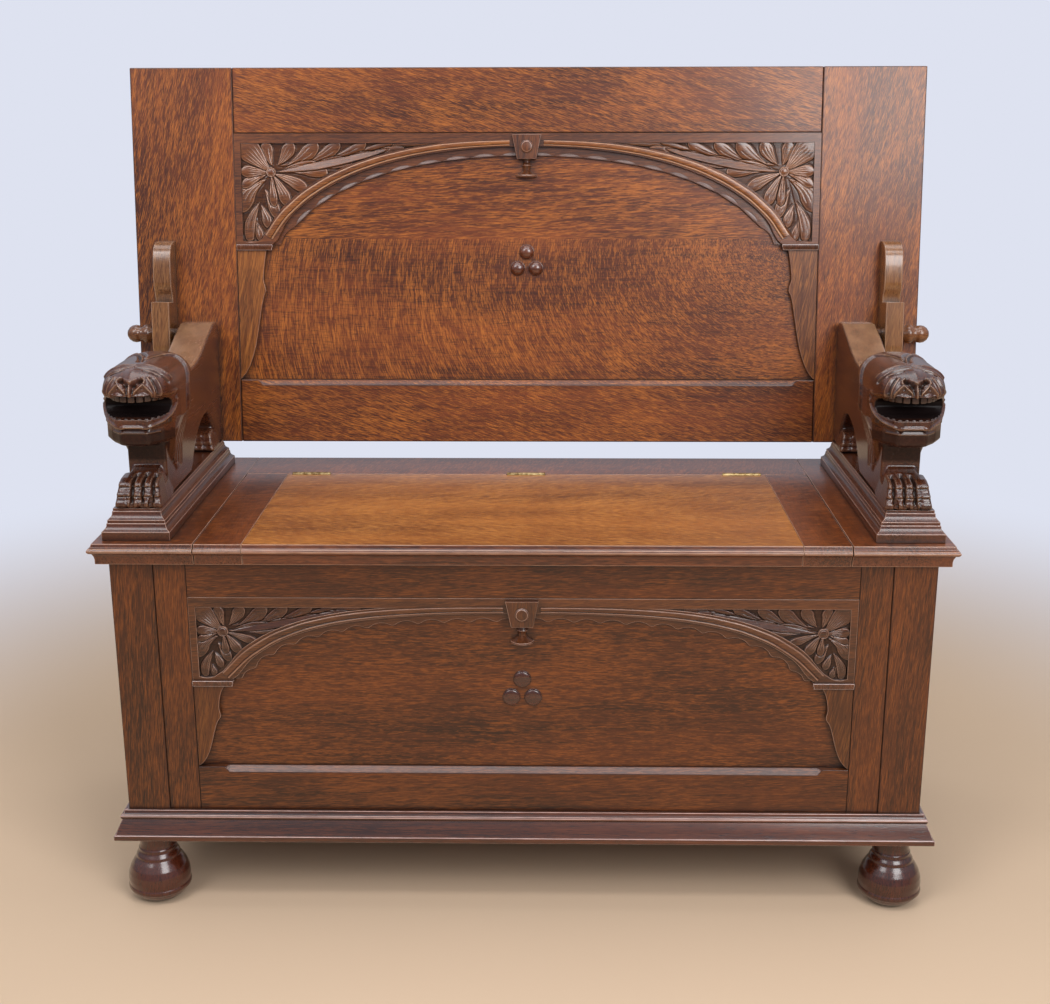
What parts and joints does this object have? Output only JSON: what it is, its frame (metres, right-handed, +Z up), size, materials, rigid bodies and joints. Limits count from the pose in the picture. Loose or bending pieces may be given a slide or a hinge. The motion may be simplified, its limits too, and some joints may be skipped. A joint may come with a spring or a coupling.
{
  "type": "monks bench",
  "caption": "Carved oak monks bench: chest with hinged seat lid, lion arms, and a framed arcaded back that tips forward on pegs to become a table top.",
  "frame": {"origin": "on the floor, under the middle of the whole bench's bounding box", "axes": "+X to the right as seen from the front, +Y towards the back, +Z up"},
  "size_m": [1.091, 0.4608, 1.0093],
  "materials": {
    "frame_oak": "dark reddish-brown stained quarter-sawn oak, polished",
    "panel_oak": "quarter-sawn oak panels with ray fleck, polished",
    "carved_oak": "carved oak, dark in the recesses and worn brighter on the edges",
    "golden_oak": "lighter golden oak, polished",
    "turned_oak": "very dark turned oak, glossy",
    "inside_oak": "plain unpolished oak boards",
    "hinge_brass": "aged brass butt hinges"
  },
  "bodies": {
    "chest": {"post_front_left": "frame_oak", "post_front_right": "frame_oak", "post_back_left": "frame_oak", "post_back_right": "frame_oak", "front_stile_left": "frame_oak", "front_stile_right": "frame_oak", "front_top_rail": "frame_oak", "front_bottom_rail": "frame_oak", "front_panel": "panel_oak", "side_top_rail_left": "frame_oak", "side_top_rail_right": "frame_oak", "side_bottom_rail_left": "frame_oak", "side_bottom_rail_right": "frame_oak", "side_panel_left": "panel_oak", "side_panel_right": "panel_oak", "back_board": "inside_oak", "bottom_board": "inside_oak", "base_moulding_front": "turned_oak", "base_moulding_left": "turned_oak", "base_moulding_right": "turned_oak", "bun_foot_front_left": "turned_oak", "bun_foot_front_right": "turned_oak", "bun_foot_back_left": "turned_oak", "bun_foot_back_right": "turned_oak", "seat_end_left": "frame_oak", "seat_end_right": "frame_oak", "seat_rear_rail": "frame_oak", "hinge_fixed_leaf_left": "hinge_brass", "hinge_fixed_leaf_middle": "hinge_brass", "hinge_fixed_leaf_right": "hinge_brass", "front_arch": "carved_oak", "front_pilaster_left": "golden_oak", "front_pilaster_right": "golden_oak", "front_keystone": "carved_oak", "arm_plinth_left": "carved_oak", "arm_plinth_right": "carved_oak", "lion_body_left": "carved_oak", "lion_body_right": "carved_oak", "lion_head_left": "carved_oak", "lion_head_right": "carved_oak", "pivot_peg_left": "turned_oak", "pivot_peg_right": "turned_oak"},
    "lid": {"lid_panel": "golden_oak", "lid_cleat_left": "frame_oak", "lid_cleat_right": "frame_oak", "hinge_lid_leaf_left": "hinge_brass", "hinge_lid_leaf_middle": "hinge_brass", "hinge_lid_leaf_right": "hinge_brass"},
    "top": {"top_cleat_left": "frame_oak", "top_cleat_right": "frame_oak", "top_upper_rail": "frame_oak", "top_lower_rail": "frame_oak", "top_panel": "panel_oak", "top_arch": "carved_oak", "top_pilaster_left": "golden_oak", "top_pilaster_right": "golden_oak", "top_keystone": "carved_oak", "top_runner_left": "carved_oak", "top_runner_right": "carved_oak"}
  },
  "joints": [
    {"name": "top_tilt", "type": "hinge", "parent": "chest", "child": "top", "pos_m": [0, 0.14574, 0.66], "axis": [1, 0, 0], "range_deg": [0, 97]},
    {"name": "lid_hinge", "type": "hinge", "parent": "chest", "child": "lid", "pos_m": [0, 0.09463, 0.4755], "axis": [-1, 0, 0], "range_deg": [0, 35]}
  ]
}
